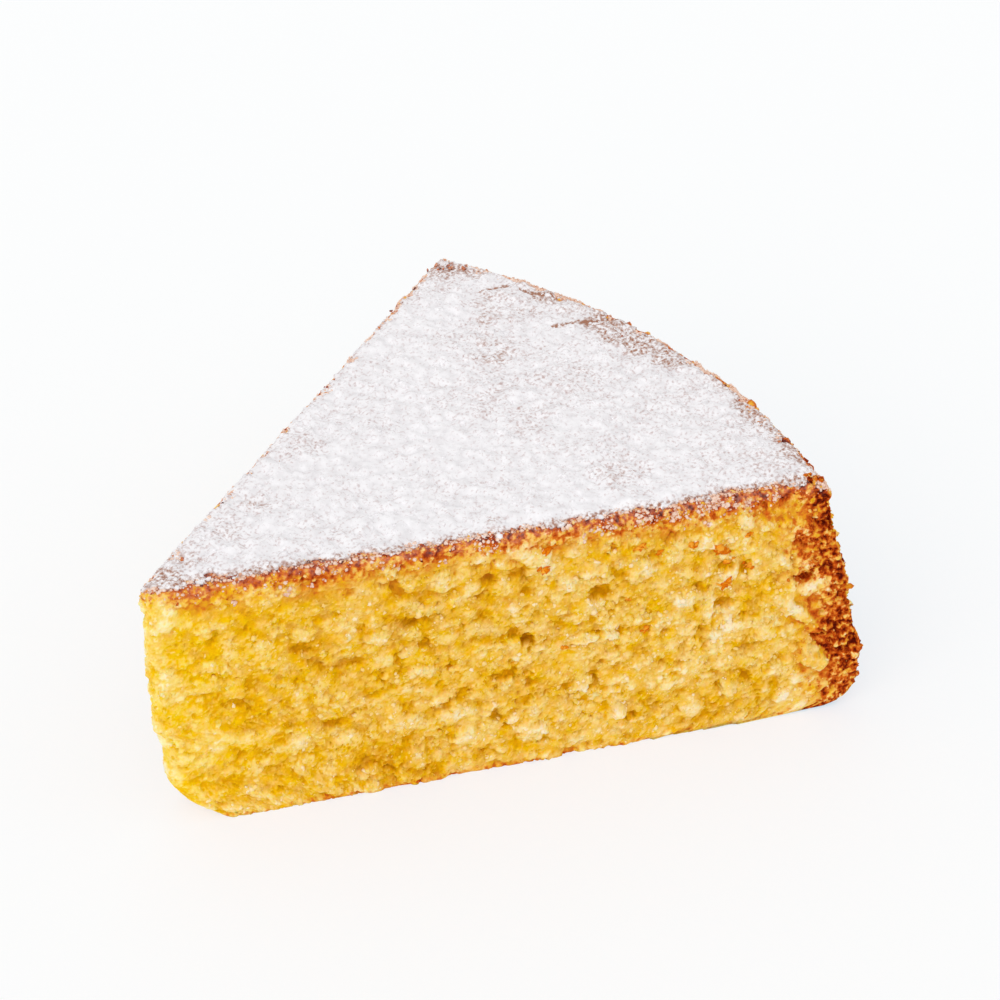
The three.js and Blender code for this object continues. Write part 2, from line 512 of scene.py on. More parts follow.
@dataclass
class AlmondSponge:
    """The wedge of sponge with its browned crust."""

    form: WedgeForm
    seed: int = 11

    # Mesh
    columns: dict[Wall, int] = field(default_factory=lambda: {
        Wall.TIP: 16, Wall.NEAR_CUT: 400, Wall.RIM: 128, Wall.FAR_CUT: 176})
    rows: int = 134
    tip_length: float = 6.0
    top_rings: tuple[float, ...] = (0.97, 0.885, 0.83)
    top_drop: float = 1.2
    strip_crowding: float = 1.5

    # Browning, and the film of sugar on it
    rim_crust: tuple[Fade, ...] = (Fade(0.5, 1.8, 7.0), Fade(0.45, 5.0, 15.5))
    rim_ragged: float = 3.2
    rim_browning: float = 0.74
    rim_mottle: Waves = Waves(12.0, NoiseLayer.RIM_MOTTLE)
    rim_mottle_depth: float = 0.25
    top_crust: tuple[Fade, ...] = (Fade(0.2, 0.0, 1.5), Fade(0.32, 0.3, 4.2), Fade(0.4, 0.8, 10.0))
    top_ragged: float = 1.3
    top_browning: float = 0.9
    crust_edge: Waves = Waves(4.0, NoiseLayer.CRUST_EDGE, 5)
    pale_tip: Fade = Fade(0.38, 0.0, 60.0)
    base_skin: Fade = Fade(0.4, 0.3, 1.5)
    dust_film: Fade = Fade(0.2, -0.3, 1.8)
    film_edge: Waves = Waves(3.0, NoiseLayer.FILM_EDGE)
    top_film: float = 0.34

    # Light and dark of the crumb: painted shade and highlight from the relief, painted light at the tip
    tone_reach: float = 3.0
    tone_gain: float = 0.15
    tone_range: Span = (-0.5, 0.3)
    broad_tone: float = 0.24
    broad_waves: Waves = Waves(7.0, NoiseLayer.BROAD_TONE, 2)
    end_light: float = 0.12
    dim_share: float = 0.3
    hole_shade: float = 0.2
    flake_relief: float = 0.3
    painted_tip_light: Fade = Fade(0.3, 0.0, 11.0)
    tip_lemon: Fade = Fade(1.0, 0.0, 34.0)
    plain_tint: float = 0.5

    # Relief
    tip_calm: Fade = Fade(0.4, 0.0, 60.0)
    top_hold: Fade = Fade(0.5, 0.0, 2.0)
    base_hold: Fade = Fade(0.25, 0.0, 1.5)
    ragged_size: float = 1.4
    ragged_depth: float = 0.4
    lump_reach: float = 1.3
    crumb: TornFace = TornFace(
        dips=(Tear(8.0, 1.3, 0.5, 0.45, -0.45, NoiseLayer.DIPS),),
        lumps=(LumpKind(0.9, 2.2, 0.15, 0.36, 0.2),),
        tears=(Tear(2.2, 1.2, 0.13, 0.06, -0.4, NoiseLayer.PITS),
               Tear(4.5, 1.2, 0.1, 0.04, -0.55, NoiseLayer.HOLLOWS),
               Tear(3.0, 2.0, 0.12, 0.04, 0.3, NoiseLayer.FLAKES)),
        grains=(LumpKind(0.45, 0.95, 0.6, 0.44, 0.1), LumpKind(0.2, 0.38, 2.4, 0.45, 0.05)))
    crust: TornFace = TornFace(
        dips=(Tear(9.0, 1.0, 0.5, 0.45, -0.5, NoiseLayer.DIPS),),
        lumps=(LumpKind(1.0, 2.2, 0.09, 0.45, 0.3),),
        tears=(Tear(5.0, 1.0, 0.12, 0.08, -0.7, NoiseLayer.PITS),
               Tear(3.0, 1.0, 0.2, 0.1, 0.55, NoiseLayer.FLAKES)),
        grains=(LumpKind(0.6, 1.2, 0.16, 0.45, 0.2), LumpKind(0.4, 0.7, 0.8, 0.5, 0.15)))
    mark_edge: Fade = Fade(1.0, 0.75, 1.2)
    marks: tuple[Mark, ...] = (
        Mark(61.4, 24.5, 1.2, 1.2, -1.4), Mark(59.6, 26.2, 1.6, 1.2, -0.6), Mark(73.4, 31.2, 2.2, 1.5, -0.8),
        Mark(56.5, 10.7, 1.5, 1.2, -0.7), Mark(29.6, 15.0, 2.3, 1.0, -0.7), Mark(97.0, 32.3, 1.6, 0.9, -0.8),
        Mark(100.4, 31.0, 1.2, 1.1, -0.8), Mark(95.7, 24.5, 2.2, 1.0, -0.5), Mark(57.8, 18.6, 2.4, 1.0, -0.6),
        Mark(78.4, 5.7, 1.5, 1.1, -0.7), Mark(55.4, 37.3, 1.8, 0.9, -0.6), Mark(45.2, 27.6, 1.2, 1.0, -0.6),
        Mark(32.7, 26.1, 2.6, 0.9, -0.6), Mark(25.5, 30.5, 2.2, 0.9, -0.6), Mark(111.2, 15.7, 1.3, 1.1, -2.4),
        Mark(110.9, 27.1, 2.0, 0.9, -2.0),
        Mark(108.9, 20.5, 3.6, 1.1, 1.0, -0.8, 0.2), Mark(109.9, 11.3, 2.6, 1.8, 0.9, -1.1, 0.02),
        Mark(45.1, 34.0, 2.6, 0.8, 0.6, 0.14), Mark(47.3, 16.0, 2.1, 0.8, 0.7, 0.24),
        Mark(69.4, 13.0, 1.9, 0.7, 0.6, 0.1), Mark(70.9, 22.7, 2.2, 0.8, 0.5, -0.17),
        Mark(79.8, 26.7, 1.8, 0.8, 0.6, 0.35), Mark(92.4, 27.0, 2.4, 0.6, 0.6, -0.4))

    def __post_init__(self) -> None:
        """Works out the relief and the colour fields of the upright faces."""
        draw = np.random.default_rng(self.seed)
        stations = [(wall, i / count) for wall, count in self.columns.items() for i in range(count)]
        walls = [wall for wall, _ in stations]
        along = np.array([self.outline_distance(*station) for station in stations])
        up = np.linspace(0.0, self.form.height, self.rows + 1)
        columns = [self.form.place(wall, share, up) for wall, share in stations]
        points = np.array([column[0] for column in columns])
        outs = np.array([column[1] for column in columns])
        blank = np.zeros((len(along), len(up)))
        self.side = Side(along, up, points, outs, walls, blank.copy(), blank + self.plain_tint, *[blank] * 4)
        self.fresh = blank.copy()
        self.fresh_tone = blank.copy()
        self.shade = blank.copy()
        self.ragged = [self.ragged_depth * Waves(self.ragged_size, layer).grid(along, up)
                       for layer in (NoiseLayer.RAGGED_ALONG, NoiseLayer.RAGGED_UP)]
        rim_first = walls.index(Wall.RIM)
        rim_last = rim_first + self.columns[Wall.RIM]
        self.tear_face(slice(0, rim_first), self.crumb, draw)
        self.tear_face(slice(rim_first, rim_last), self.crust, draw)
        self.tear_face(slice(rim_last, len(along)), self.crumb, draw)
        from_apex = self.from_apex()
        self.side.depth *= 1.0 - self.tip_calm.amount(from_apex)
        self.side.tone = self.tone_field(from_apex)
        # More lemon towards the tip, where the finish also paints the crumb brighter as painted light
        self.side.lemon = self.tip_lemon.amount(from_apex)
        self.side.browning = self.browning_field(from_apex)
        below = self.form.height - up[None, :] + self.top_ragged * self.film_edge.grid(along, up)
        self.side.dusted = self.dust_film.amount(below)
        self.lift_points()

    def from_apex(self) -> np.ndarray:
        """Distance in plan of each point of the side from where the cuts would meet."""
        return np.hypot(self.side.points[:, :, 0] - self.form.apex_x, self.side.points[:, :, 1])

    def outline_distance(self, wall: Wall, share: float) -> float:
        """Distance along the unrolled outline, which carries the relief round each corner.

        Args:
            wall: Which face.
            share: Place along it.

        Returns:
            Distance from the tip's far corner.
        """
        cut = self.form.rim_radius
        rim = 2.0 * self.form.half_angle * self.form.rim_radius
        lengths = {Wall.TIP: self.tip_length, Wall.NEAR_CUT: cut, Wall.RIM: rim, Wall.FAR_CUT: cut}
        order = list(lengths)
        start = sum(lengths[earlier] for earlier in order[:order.index(wall)])
        return start + lengths[wall] * share

    def tear_face(self, stretch: slice, face: TornFace, draw: np.random.Generator) -> None:
        """Builds up the relief of a stretch of the side.

        Args:
            stretch: Columns of the stretch.
            face: What it is built up from.
            draw: Source of random numbers.
        """
        side = self.side
        along = side.along[stretch]
        for tear in face.dips:
            side.depth[stretch] += tear.heights(along, side.up)
        self.pack_lumps(stretch, face.lumps, draw)
        for tear in face.tears:
            side.depth[stretch] += tear.heights(along, side.up)
        if side.walls[stretch.stop - 1] is Wall.NEAR_CUT:
            self.place_marks()
        self.pack_lumps(stretch, face.grains, draw)

    def pack_lumps(self, stretch: slice, kinds: Sequence[LumpKind], draw: np.random.Generator) -> None:
        """Packs lumps on a stretch of the side: at each place the lump that stands out most shows.

        Args:
            stretch: Columns of the stretch.
            kinds: Sizes of lump, the next size seated on the one before.
            draw: Source of random numbers.
        """
        side = self.side
        start = side.along[stretch.start]
        length = side.along[stretch.stop - 1] - start
        for kind in kinds:
            ground = side.depth.copy()
            for _ in range(int(kind.density * length * self.form.height)):
                middle = (start + length * draw.random(), self.form.height * draw.random())
                size = mix(kind.smallest, kind.largest, draw.random() ** kind.crowding)
                wide = size * draw.uniform(*kind.wide)
                tall = size * draw.uniform(*kind.tall)
                lift = draw.normal(0.0, kind.scatter)
                tint = draw.random()
                ends = (middle[0] - self.lump_reach * wide, middle[0] + self.lump_reach * wide)
                left, right = np.searchsorted(side.along, ends)
                ends = (middle[1] - self.lump_reach * tall, middle[1] + self.lump_reach * tall)
                low, high = np.searchsorted(side.up, ends)
                left = max(left, stretch.start)
                right = min(right, stretch.stop)
                if left >= right or low >= high:
                    continue
                area = (slice(left, right), slice(low, high))
                frayed = min(1.0, size)
                across = (side.along[left:right, None] + frayed * self.ragged[0][area] - middle[0]) / wide
                level = (side.up[None, low:high] + frayed * self.ragged[1][area] - middle[1]) / tall
                inside = 1.0 - across ** 2 - level ** 2
                seat = ground[(left + right) // 2, (low + high) // 2]
                height = seat + lift + kind.proud * size * (np.sqrt(np.maximum(inside, 0.0)) - kind.sunk)
                shows = (inside > 0.0) & (height > side.depth[area])
                side.depth[area][shows] = height[shows]
                side.tint[area][shows] = tint

    def place_marks(self) -> None:
        """Sinks the holes that bubbles left in the near cut, and raises the flakes that the knife tore up."""
        side = self.side
        for mark in self.marks:
            column, row = self.near_cell(mark.along, mark.z)
            ahead = side.along[:, None] + self.ragged[0] - side.along[column]
            above = side.up[None, :] + self.ragged[1] - side.up[row]
            across = (ahead * math.cos(mark.slope) + above * math.sin(mark.slope)) / mark.wide
            level = (above * math.cos(mark.slope) - ahead * math.sin(mark.slope)) / mark.tall
            amount = self.mark_edge.amount(np.hypot(across, level))
            side.depth += mark.height * amount
            if mark.height < 0.0:
                self.shade = np.maximum(self.shade, -self.hole_shade * mark.height * amount)
            else:
                self.fresh = np.maximum(self.fresh, amount)
                self.fresh_tone = mix(self.fresh_tone, mark.tone, amount)

    def near_cell(self, along: float, z: float) -> tuple[int, int]:
        """Finds the column and row of a place on the near cut.

        Args:
            along: Distance from where the cuts would meet.
            z: Height above the base.

        Returns:
            Column and row of the side.
        """
        start = self.form.reach_at(self.form.height)[1]
        share = (along - start) / (self.form.rim_radius - start)
        column = self.side.walls.index(Wall.NEAR_CUT) + round(self.columns[Wall.NEAR_CUT] * share)
        return column, round(z / self.form.height * self.rows)

    def tone_field(self, from_apex: np.ndarray) -> np.ndarray:
        """How light each place of the side is, with painted shade in pits and holes and painted highlight on
        lumps.

        Args:
            from_apex: Distance of each place from where the cuts would meet.

        Returns:
            Grid of values about 0.
        """
        side = self.side
        # Painted shade and highlight: places below the blurred relief are painted darker, places above it
        # lighter
        relief = side.depth - self.blurred(side.depth)
        tone = np.clip(self.tone_gain * relief / relief.std(), *self.tone_range)
        # Flakes keep part of that painted shade, and holes are darkened further by their painted shade
        tone = mix(tone, self.flake_relief * tone + self.fresh_tone, self.fresh) - self.shade
        broad = self.broad_waves.grid(side.along, side.up)
        # Painted light near the tip, as if lit through the crumb
        tone += self.painted_tip_light.amount(from_apex)
        tone += self.broad_tone * (broad - broad.mean(axis=0))
        tone += self.end_light * np.abs(from_apex / self.form.rim_radius - self.dim_share)
        return tone

    def blurred(self, values: np.ndarray) -> np.ndarray:
        """Averages a grid over the places round each one.

        Args:
            values: Grid of the unrolled side.

        Returns:
            The averaged grid.
        """
        reach = round(self.tone_reach * self.rows / self.form.height)
        window = 2 * reach + 1
        result = values
        for axis in (0, 1):
            pad = [(reach + 1, reach) if other == axis else (0, 0) for other in (0, 1)]
            total = np.cumsum(np.pad(result, pad, mode="edge"), axis=axis)
            count = values.shape[axis]
            ahead = np.take(total, range(window, window + count), axis=axis)
            behind = np.take(total, range(count), axis=axis)
            result = (ahead - behind) / window
        return result

    def browning_field(self, from_apex: np.ndarray) -> np.ndarray:
        """How browned each place of the side is: 0 in the crumb, about 1 on the crust.

        Args:
            from_apex: Distance of each place from where the cuts would meet.

        Returns:
            Grid of values.
        """
        side = self.side
        ragged = self.crust_edge.grid(side.along, side.up)
        from_rim = self.form.rim_at(side.up)[None, :] - from_apex + self.rim_ragged * ragged
        from_top = self.form.height - side.up[None, :] + self.top_ragged * ragged
        top_share = 1.0 - self.pale_tip.amount(from_apex)
        cut = base = self.base_skin.amount(side.up[None, :])
        crusts = ((self.rim_crust, from_rim, 1.0), (self.top_crust, from_top, top_share))
        for layers, distance, share in crusts:
            cut = np.maximum(cut, share * sum(layer.amount(distance) for layer in layers))
        worn = self.rim_browning + self.rim_mottle_depth * self.rim_mottle.grid(side.along, side.up)
        return np.where(side.on(Wall.RIM), np.maximum(worn, base), cut * (1.0 - self.fresh))

    def lift_points(self) -> None:
        """Moves the points of the side out by their relief, less along the top and the base."""
        side = self.side
        below = self.form.height - side.up
        edge = self.form.edge_round
        over = np.clip(1.0 - below / edge, 0.0, 1.0)
        rounding = edge * (1.0 - np.sqrt(1.0 - over ** 2))
        held = (1.0 - self.top_hold.amount(below)) * (1.0 - self.base_hold.amount(side.up))
        side.points = side.points + side.outs * (side.depth * held - rounding)[:, :, None]
        for point in side.points[:, -1]:
            point[2] = self.form.top_at(point[0], point[1])

    def pick(self, weight: np.ndarray, count: int,
             draw: np.random.Generator) -> tuple[np.ndarray, np.ndarray]:
        """Draws cells of the side at random.

        Args:
            weight: How likely each cell is for its area.
            count: How many to draw.
            draw: Source of random numbers.

        Returns:
            Columns and rows.
        """
        chance = (weight * self.side.spacing[:, None]).ravel()
        cells = draw.choice(chance.size, size=count, p=chance / chance.sum())
        return np.unravel_index(cells, weight.shape)

    def spread(self, columns: np.ndarray, rows: np.ndarray, draw: np.random.Generator) -> np.ndarray:
        """Finds places on the side near given cells, off the lines of the grid.

        Args:
            columns: Column of each cell.
            rows: Row of each cell.
            draw: Source of random numbers.

        Returns:
            A point for each cell.
        """
        points = self.side.points
        next_columns = (columns + 1) % len(points)
        next_rows = np.minimum(rows + 1, self.rows)
        across = draw.random((len(columns), 1))
        low = mix(points[columns, rows], points[next_columns, rows], across)
        high = mix(points[columns, next_rows], points[next_columns, next_rows], across)
        return mix(low, high, draw.random((len(columns), 1)))

    def top_strip(self, count: int, width: float, draw: np.random.Generator) -> np.ndarray:
        """Finds places along the edge of the top, most of them close to the edge.

        Args:
            count: How many.
            width: Width of the strip.
            draw: Source of random numbers.

        Returns:
            The places.
        """
        side = self.side
        columns = draw.choice(len(side.along), size=count, p=side.spacing / side.spacing.sum())
        inward = width * draw.random((count, 1)) ** self.strip_crowding
        places = self.spread(columns, np.full(count, self.rows), draw) - inward * side.outs[columns, -1]
        places[:, 2] = [self.form.top_at(x, y) for x, y, _ in places]
        return places

    def build(self) -> bpy.types.Object:
        """Models the sponge as one closed mesh.

        Returns:
            The finished object.
        """
        mesh = bmesh.new()
        side = self.side
        count = len(side.along)
        layers = {name: mesh.verts.layers.float.new(name) for name in SPONGE_LAYERS}
        # A grid one unit wide and tall, so that each place gives its shares of the columns and rows
        bmesh.ops.create_grid(mesh, x_segments=count, y_segments=self.rows, size=0.5)
        seam = []
        for vertex in mesh.verts:
            column = round((vertex.co.x + 0.5) * count) % count
            row = round((vertex.co.y + 0.5) * self.rows)
            if column == 0:
                seam.append(vertex)
            vertex.co = side.points[column, row]
            for name, layer in layers.items():
                vertex[layer] = getattr(side, name)[column, row]
        bmesh.ops.remove_doubles(mesh, verts=seam, dist=MERGE_DISTANCE)
        self.cap(mesh, {layers["browning"]: self.top_browning, layers["dusted"]: self.top_film})
        bmesh.ops.recalc_face_normals(mesh, faces=mesh.faces)
        return finish_mesh(mesh, "almond_sponge")

    def cap(self, mesh: bmesh.types.BMesh, crust: dict[bmesh.types.BMLayerItem, float]) -> None:
        """Closes the top, with rings of crust along its edge, and the flat base.

        The innermost ring is lower, so that the face it holds stays under the sugar.

        Args:
            mesh: Mesh with the upright faces.
            crust: Value of each layer on the rings.
        """
        open_edges = [edge for edge in mesh.edges if edge.is_boundary]
        middle = self.form.height / 2.0
        loop = [edge for edge in open_edges if edge.verts[0].co.z > middle]
        base = [edge for edge in open_edges if edge.verts[0].co.z < middle]
        previous = 1.0
        for ring in self.top_rings:
            made = bmesh.ops.extrude_edge_only(mesh, edges=loop)["geom"]
            vertices = [item for item in made if isinstance(item, bmesh.types.BMVert)]
            loop = [item for item in made if isinstance(item, bmesh.types.BMEdge) and item.is_boundary]
            shrink = ring / previous
            previous = ring
            bmesh.ops.scale(mesh, vec=(shrink, shrink, 1.0), verts=vertices)
            drop = self.top_drop if ring == self.top_rings[-1] else 0.0
            for vertex in vertices:
                vertex.co.z = self.form.top_at(vertex.co.x, vertex.co.y) - drop
                for layer, value in crust.items():
                    vertex[layer] = value
        bmesh.ops.contextual_create(mesh, geom=loop)
        bmesh.ops.contextual_create(mesh, geom=base)

    def make(self) -> list[bpy.types.Object]:
        """Builds the sponge and dresses it.

        Returns:
            The one finished piece.
        """
        cake = dress(self.build(), SpongeFinish().material())
        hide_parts("cake_slice")
        return [cake]


@dataclass(frozen=True)
class BitKind:
    """One kind of small bit: its least and most stretch, its range of sizes and how uneven it is.

    The stretch is along, across and out of the face that the bit lies on. Small bits crowd out large ones, a
    bit sinks in by a share of its size, and it is turned on the face by chance.
    """

    least: Point
    most: Point
    sizes: Span = (1.0, 1.0)
    crowding: float = 1.0
    sink: float = 0.0
    uneven: float = 0.3
    turn: float = math.pi

    def draw_sizes(self, count: int, draw: np.random.Generator) -> np.ndarray:
        """Draws a size for each bit."""
        return mix(*self.sizes, draw.random(count) ** self.crowding)

    def stretched(self, size: np.ndarray, draw: np.random.Generator) -> np.ndarray:
        """Draws the three half sizes of each bit."""
        return size[:, None] * draw.uniform(self.least, self.most, (len(size), 3))


@dataclass
class Bits:
    """Many small bits of one kind, as arrays with a row for each bit."""

    kind: BitKind
    places: np.ndarray
    outs: np.ndarray
    sizes: np.ndarray
    layers: dict[str, np.ndarray]
    detail: int = 1
    steep: float = 0.9

    def join(self, name: str, draw: np.random.Generator) -> bpy.types.Object:
        """Joins the bits as one mesh of uneven lumps.

        Args:
            name: Name of the piece.
            draw: Source of random numbers.

        Returns:
            The finished object.
        """
        seed = bmesh.new()
        bmesh.ops.create_icosphere(seed, subdivisions=self.detail, radius=1.0)
        corners = np.array([vertex.co[:] for vertex in seed.verts])
        sides = np.array([[vertex.index for vertex in face.verts] for face in seed.faces])
        seed.free()
        count = len(self.places)
        uneven = draw.uniform(1.0 - self.kind.uneven, 1.0 + self.kind.uneven, (count, len(corners), 1))
        turn = draw.uniform(-self.kind.turn, self.kind.turn, count)[:, None]
        helper = np.where(np.abs(self.outs[:, 2:]) < self.steep, UP, (1.0, 0.0, 0.0))
        first = np.cross(helper, self.outs)
        first /= np.linalg.norm(first, axis=1)[:, None]
        across = first * np.cos(turn) + np.cross(self.outs, first) * np.sin(turn)
        axes = np.stack((across, np.cross(self.outs, across), self.outs), axis=1)
        shape = corners[None] * uneven * self.sizes[:, None, :]
        spots = np.einsum("nvi,nij->nvj", shape, axes) + self.places[:, None, :]
        faces = sides[None] + len(corners) * np.arange(count)[:, None, None]
        data = bpy.data.meshes.new(name)
        data.from_pydata((spots.reshape(-1, 3) * METRES).tolist(), [], faces.reshape(-1, 3).tolist())
        data.shade_smooth()
        for layer, values in self.layers.items():
            attribute = data.attributes.new(layer, "FLOAT", "POINT")
            attribute.data.foreach_set("value", np.repeat(values, len(corners)))
        return link_object(name, data)


@dataclass
class LooseCrumb:
    """Small crumbs that cling to the torn faces and to the crust, and flecks of orange zest."""

    sponge: AlmondSponge
    seed: int = 23

    # Pale grains and bits of almond on the cuts
    grain: BitKind = BitKind((0.9, 0.8, 0.6), (1.4, 1.1, 1.0), (0.16, 0.5), 2.0, sink=0.45, uneven=0.35)
    grain_count: int = 9700
    grain_tone: Span = (-0.1, 0.2)
    grain_ground: Span = (-0.3, 0.1)
    brown_fade: float = 1.4
    far_share: float = 0.9
    tip_share: float = 0.2
    grain_margins: Span = (0.6, 0.5)
    almond_count: int = 150
    almond_sizes: Span = (0.3, 0.48)
    almond_tone: Span = (0.2, 0.45)

    # Toasted crumbs on the rim, along the edge of the top and at its corners
    toasted: BitKind = BitKind((0.9, 0.7, 0.7), (1.5, 1.1, 1.2), (0.12, 0.6), 3.0, uneven=0.45)
    crust_count: int = 5200
    rim_share: float = 0.7
    sugared: Fade = Fade(0.8, 0.0, 3.0)
    base_gap: Fade = Fade(1.0, 0.5, 3.0)
    crust_floor: float = 1.05
    rim_growth: float = 1.3
    cut_growth: float = 0.6
    crust_tone: Span = (-0.4, 0.35)
    browning_shift: Span = (-0.05, 0.2)
    browning_range: Span = (0.3, 1.1)
    edge_count: int = 1100
    edge_width: float = 1.6
    edge_browning: float = 0.75
    edge_dusted: float = 0.5
    corner_heaps: tuple[Heap, ...] = (
        Heap(38.4, -43.6, 22), Heap(38.2, -45.0, 12), Heap(39.3, -45.4, 9), Heap(36.4, 43.4, 10),
        Heap(38.0, 42.4, 12), Heap(39.4, 40.2, 8), Heap(24.7, 38.6, 4), Heap(21.0, 36.8, 4))
    corner_spread: Point = (0.5, 0.5, 0.2)
    corner_lift: float = 0.4
    corner_settling: float = 1.0
    corner_overhang: float = 0.2
    corner_sizes: Span = (0.15, 0.45)
    corner_tone: Span = (-0.4, 0.15)
    near_corner_browning: float = 0.7
    far_corner_browning: float = 0.85
    far_corner_size: float = 0.75
    far_corner_dusted: float = 0.5

    # Shreds of zest, in small curled heaps
    shred: BitKind = BitKind((1.0, 0.5, 0.4), (2.0, 0.9, 0.8), uneven=0.45, turn=1.0)
    shred_share: float = 0.23
    zest_shreds: int = 14
    zest_slope: float = 0.9
    zest_bow: float = 1.2
    zest_scatter: float = 0.09
    zest_lift: float = 0.06
    far_zest_count: int = 14
    far_zest_reach: Span = (0.8, 1.7)
    clean_crumb: float = 0.1
    near_zest: tuple[Spot, ...] = (
        Spot(95.5, 35.5, 2.6), Spot(64.4, 41.4, 1.6), Spot(80.0, 39.0, 1.6), Spot(96.4, 28.5, 1.7),
        Spot(64.0, 37.6, 1.5), Spot(97.6, 32.5, 1.7), Spot(90.5, 37.4, 1.4), Spot(83.5, 36.8, 1.2),
        Spot(101.0, 30.8, 1.4), Spot(81.1, 22.1, 1.2), Spot(67.3, 21.5, 1.1), Spot(102.0, 37.2, 1.0),
        Spot(78.0, 28.8, 0.9))

    def __post_init__(self) -> None:
        """Starts the source of random numbers."""
        self.draw = np.random.default_rng(self.seed)

    def grains(self) -> bpy.types.Object:
        """Makes the small pale crumbs on the cuts.

        Returns:
            The finished piece.
        """
        side = self.sponge.side
        draw = self.draw
        soft = np.clip(1.0 - self.brown_fade * side.browning, 0.0, 1.0)
        soft = soft * np.where(side.on(Wall.FAR_CUT), self.far_share, 1.0)
        soft = soft * mix(1.0, self.tip_share, side.lemon) * smooth_step(*self.grain_ground, side.tone)
        columns, rows = self.sponge.pick(soft, self.grain_count + self.almond_count, draw)
        count = len(columns)
        size = self.grain.draw_sizes(count, draw)
        # Each grain takes the painted light and shade of the face under it, shifted at random
        tone = side.tone[columns, rows] + draw.uniform(*self.grain_tone, count)
        size[:self.almond_count] = draw.uniform(*self.almond_sizes, self.almond_count)
        tone[:self.almond_count] = draw.uniform(*self.almond_tone, self.almond_count)
        sizes = self.grain.stretched(size, draw)
        outs = side.outs[columns, rows]
        places = self.sponge.spread(columns, rows, draw) - self.grain.sink * size[:, None] * outs
        lowest, below_top = self.grain_margins
        places[:, 2] = np.clip(places[:, 2], lowest, self.sponge.form.height - below_top)
        layers = {"tone": tone, "tint": draw.random(count), "browning": side.browning[columns, rows],
                  "lemon": side.lemon[columns, rows]}
        return Bits(self.grain, places, outs, sizes, layers).join("crumb_grains", draw)

    def corner_places(self) -> np.ndarray:
        """Finds places for the crumbs that broke loose at the corners of the top.

        Returns:
            The places, without those that would fall off the edge.
        """
        form = self.sponge.form
        level = form.height + self.corner_lift
        places = np.concatenate([
            self.draw.normal((heap.x, heap.y, level), self.corner_spread, (heap.count, 3))
            for heap in self.corner_heaps])
        margin = np.array([min(form.margins(x, y)) for x, y, _ in places])
        places[:, 2] -= Fade(self.corner_lift, 0.0, self.corner_settling).amount(margin)
        return places[margin > -self.corner_overhang]

    def crust(self) -> bpy.types.Object:
        """Makes the browned crumbs on the rim and along the top of the cuts.

        Returns:
            The finished piece.
        """
        side = self.sponge.side
        draw = self.draw
        on_rim = side.on(Wall.RIM)
        bare = 1.0 - self.sugared.amount(self.sponge.form.height - side.up)
        clear = 1.0 - self.base_gap.amount(side.up)
        weight = np.where(on_rim, self.rim_share * bare, side.browning ** 2) * clear
        columns, rows = self.sponge.pick(weight, self.crust_count, draw)
        edge = self.sponge.top_strip(self.edge_count, self.edge_width, draw)
        corner = self.corner_places()
        is_far = corner[:, 1] > 0.0
        places = np.concatenate((self.sponge.spread(columns, rows, draw), edge, corner))
        places[:, 2] = np.maximum(places[:, 2], self.crust_floor)
        outs = np.concatenate((side.outs[columns, rows], upward(len(edge) + len(corner))))
        count = len(places)
        growth = np.full(count, self.cut_growth)
        growth[:len(columns)][on_rim[columns, 0]] = self.rim_growth
        size = growth * self.toasted.draw_sizes(count, draw)
        browning = np.concatenate((side.browning[columns, rows], np.full(len(edge), self.edge_browning),
                                   np.where(is_far, self.far_corner_browning, self.near_corner_browning)))
        browning = np.clip(browning + draw.normal(*self.browning_shift, count), *self.browning_range)
        tone = draw.uniform(*self.crust_tone, count)
        tone[-len(corner):] = draw.uniform(*self.corner_tone, len(corner))
        corner_size = draw.uniform(*self.corner_sizes, len(corner))
        size[-len(corner):] = corner_size * np.where(is_far, self.far_corner_size, 1.0)
        dusted = np.concatenate((side.dusted[columns, rows], draw.uniform(0.0, self.edge_dusted, len(edge)),
                                 self.far_corner_dusted * is_far))
        layers = {"tone": tone, "tint": draw.random(count), "browning": browning, "dusted": dusted}
        sizes = self.toasted.stretched(size, draw)
        return Bits(self.toasted, places, outs, sizes, layers).join("crust_crumbs", draw)

    def zest(self) -> bpy.types.Object:
        """Makes the flecks of orange zest that show in the cuts.

        Returns:
            The finished piece.
        """
        side = self.sponge.side
        draw = self.draw
        near = np.array([self.sponge.near_cell(spot.along, spot.z) for spot in self.near_zest])
        clean = side.on(Wall.FAR_CUT) * (side.browning < self.clean_crumb)
        far = np.stack(self.sponge.pick(clean, self.far_zest_count, draw), axis=1)
        far_reach = draw.uniform(*self.far_zest_reach, self.far_zest_count)
        reach = np.concatenate(([spot.size for spot in self.near_zest], far_reach)).repeat(self.zest_shreds)
        columns, rows = np.concatenate((near, far)).repeat(self.zest_shreds, axis=0).T
        count = len(columns)
        pitch = side.along[columns] - side.along[columns - 1]
        slope = draw.uniform(-self.zest_slope, self.zest_slope, len(near) + len(far)).repeat(self.zest_shreds)
        run = draw.uniform(-0.5, 0.5, count)
        curl = self.zest_bow * run ** 2 + draw.normal(0.0, self.zest_scatter, count)
        ahead = reach * (run * np.cos(slope) - curl * np.sin(slope))
        above = reach * (run * np.sin(slope) + curl * np.cos(slope))
        columns = (columns + np.rint(ahead / pitch).astype(int)) % len(side.along)
        rows = np.clip(rows + np.rint(above / side.up[1]).astype(int), 0, self.sponge.rows)
        sizes = self.shred.stretched(self.shred_share * reach, draw)
        outs = side.outs[columns, rows]
        places = self.sponge.spread(columns, rows, draw) + self.zest_lift * outs
        return Bits(self.shred, places, outs, sizes, {"tint": draw.random(count)}).join("zest_flecks", draw)

